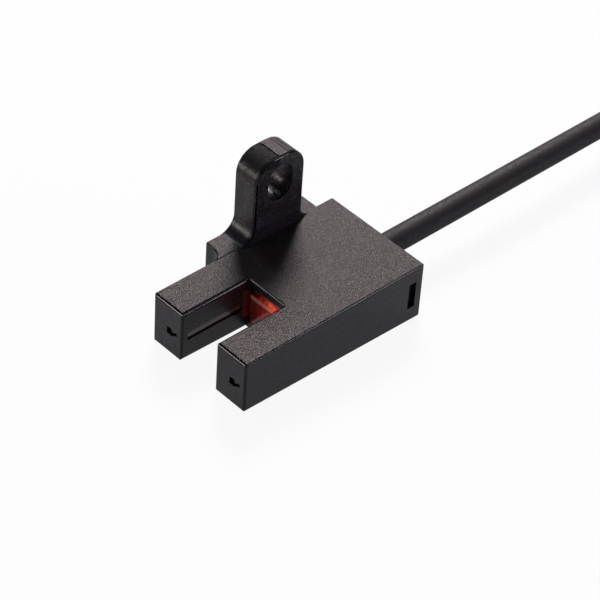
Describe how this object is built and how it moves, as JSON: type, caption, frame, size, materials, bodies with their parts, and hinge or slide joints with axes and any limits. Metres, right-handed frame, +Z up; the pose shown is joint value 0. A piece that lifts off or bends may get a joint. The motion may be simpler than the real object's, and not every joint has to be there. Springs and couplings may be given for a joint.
{
  "type": "fork sensor",
  "caption": "Small black slotted light barrier with a side mounting tab, a clear red inner cover and a fixed round cable put away in a tied hank.",
  "frame": {"origin": "middle of the sloping base, on the surface that the sensor stands on", "axes": "+X runs from the fork's tips to the cable, +Y points to the side with the mounting ear, +Z up; Y is zero at the middle of the slot"},
  "size_m": [0.1496, 0.0238, 0.0159],
  "materials": {
    "case_black": "fine satin grain",
    "cover_red": "clear red, glossy",
    "cap_black": "satin",
    "seal_rubber": "soft matte",
    "collar_metal": "nickel plated",
    "board_green": "green lacquer over glass cloth",
    "emitter_clear": "water-clear blue tint",
    "receiver_dark": "dark daylight filter",
    "legs_tinned": "tinned",
    "lamp_orange": "clear orange",
    "chip_black": "fine grain",
    "diode_black": "fine grain",
    "resistor_dark": "black film with tinned ends",
    "capacitor_tan": "tan ceramic with tinned ends",
    "solder": "bright solder",
    "core_brown": "brown insulation",
    "core_black": "black insulation",
    "core_white": "white insulation",
    "core_blue": "blue insulation",
    "sheath_black": "satin flexible sheath",
    "tie_black": "satin",
    "copper": "bright stranded copper"
  },
  "bodies": {
    "root": {"fork_case": "case_black", "slit_cover": "cover_red", "rear_cap": "cap_black", "cable_seal": "seal_rubber", "cable_collar": "collar_metal", "circuit_board": "board_green", "infrared_emitter": "emitter_clear", "emitter_legs": "legs_tinned", "light_receiver": "receiver_dark", "receiver_legs": "legs_tinned", "indicator_lamp": "lamp_orange", "amplifier_chip": "chip_black", "output_transistor": "chip_black", "protection_diode": "diode_black", "chip_resistors": "resistor_dark", "chip_capacitors": "capacitor_tan", "solder_joints": "solder", "core_brown": "core_brown", "core_black": "core_black", "core_white": "core_white", "core_blue": "core_blue", "cable": "sheath_black", "cable_hank": "sheath_black", "hank_tie": "tie_black", "cable_tail": "sheath_black", "end_brown": "core_brown", "end_black": "core_black", "end_white": "core_white", "end_blue": "core_blue", "bared_tips": "copper"}
  },
  "joints": []
}
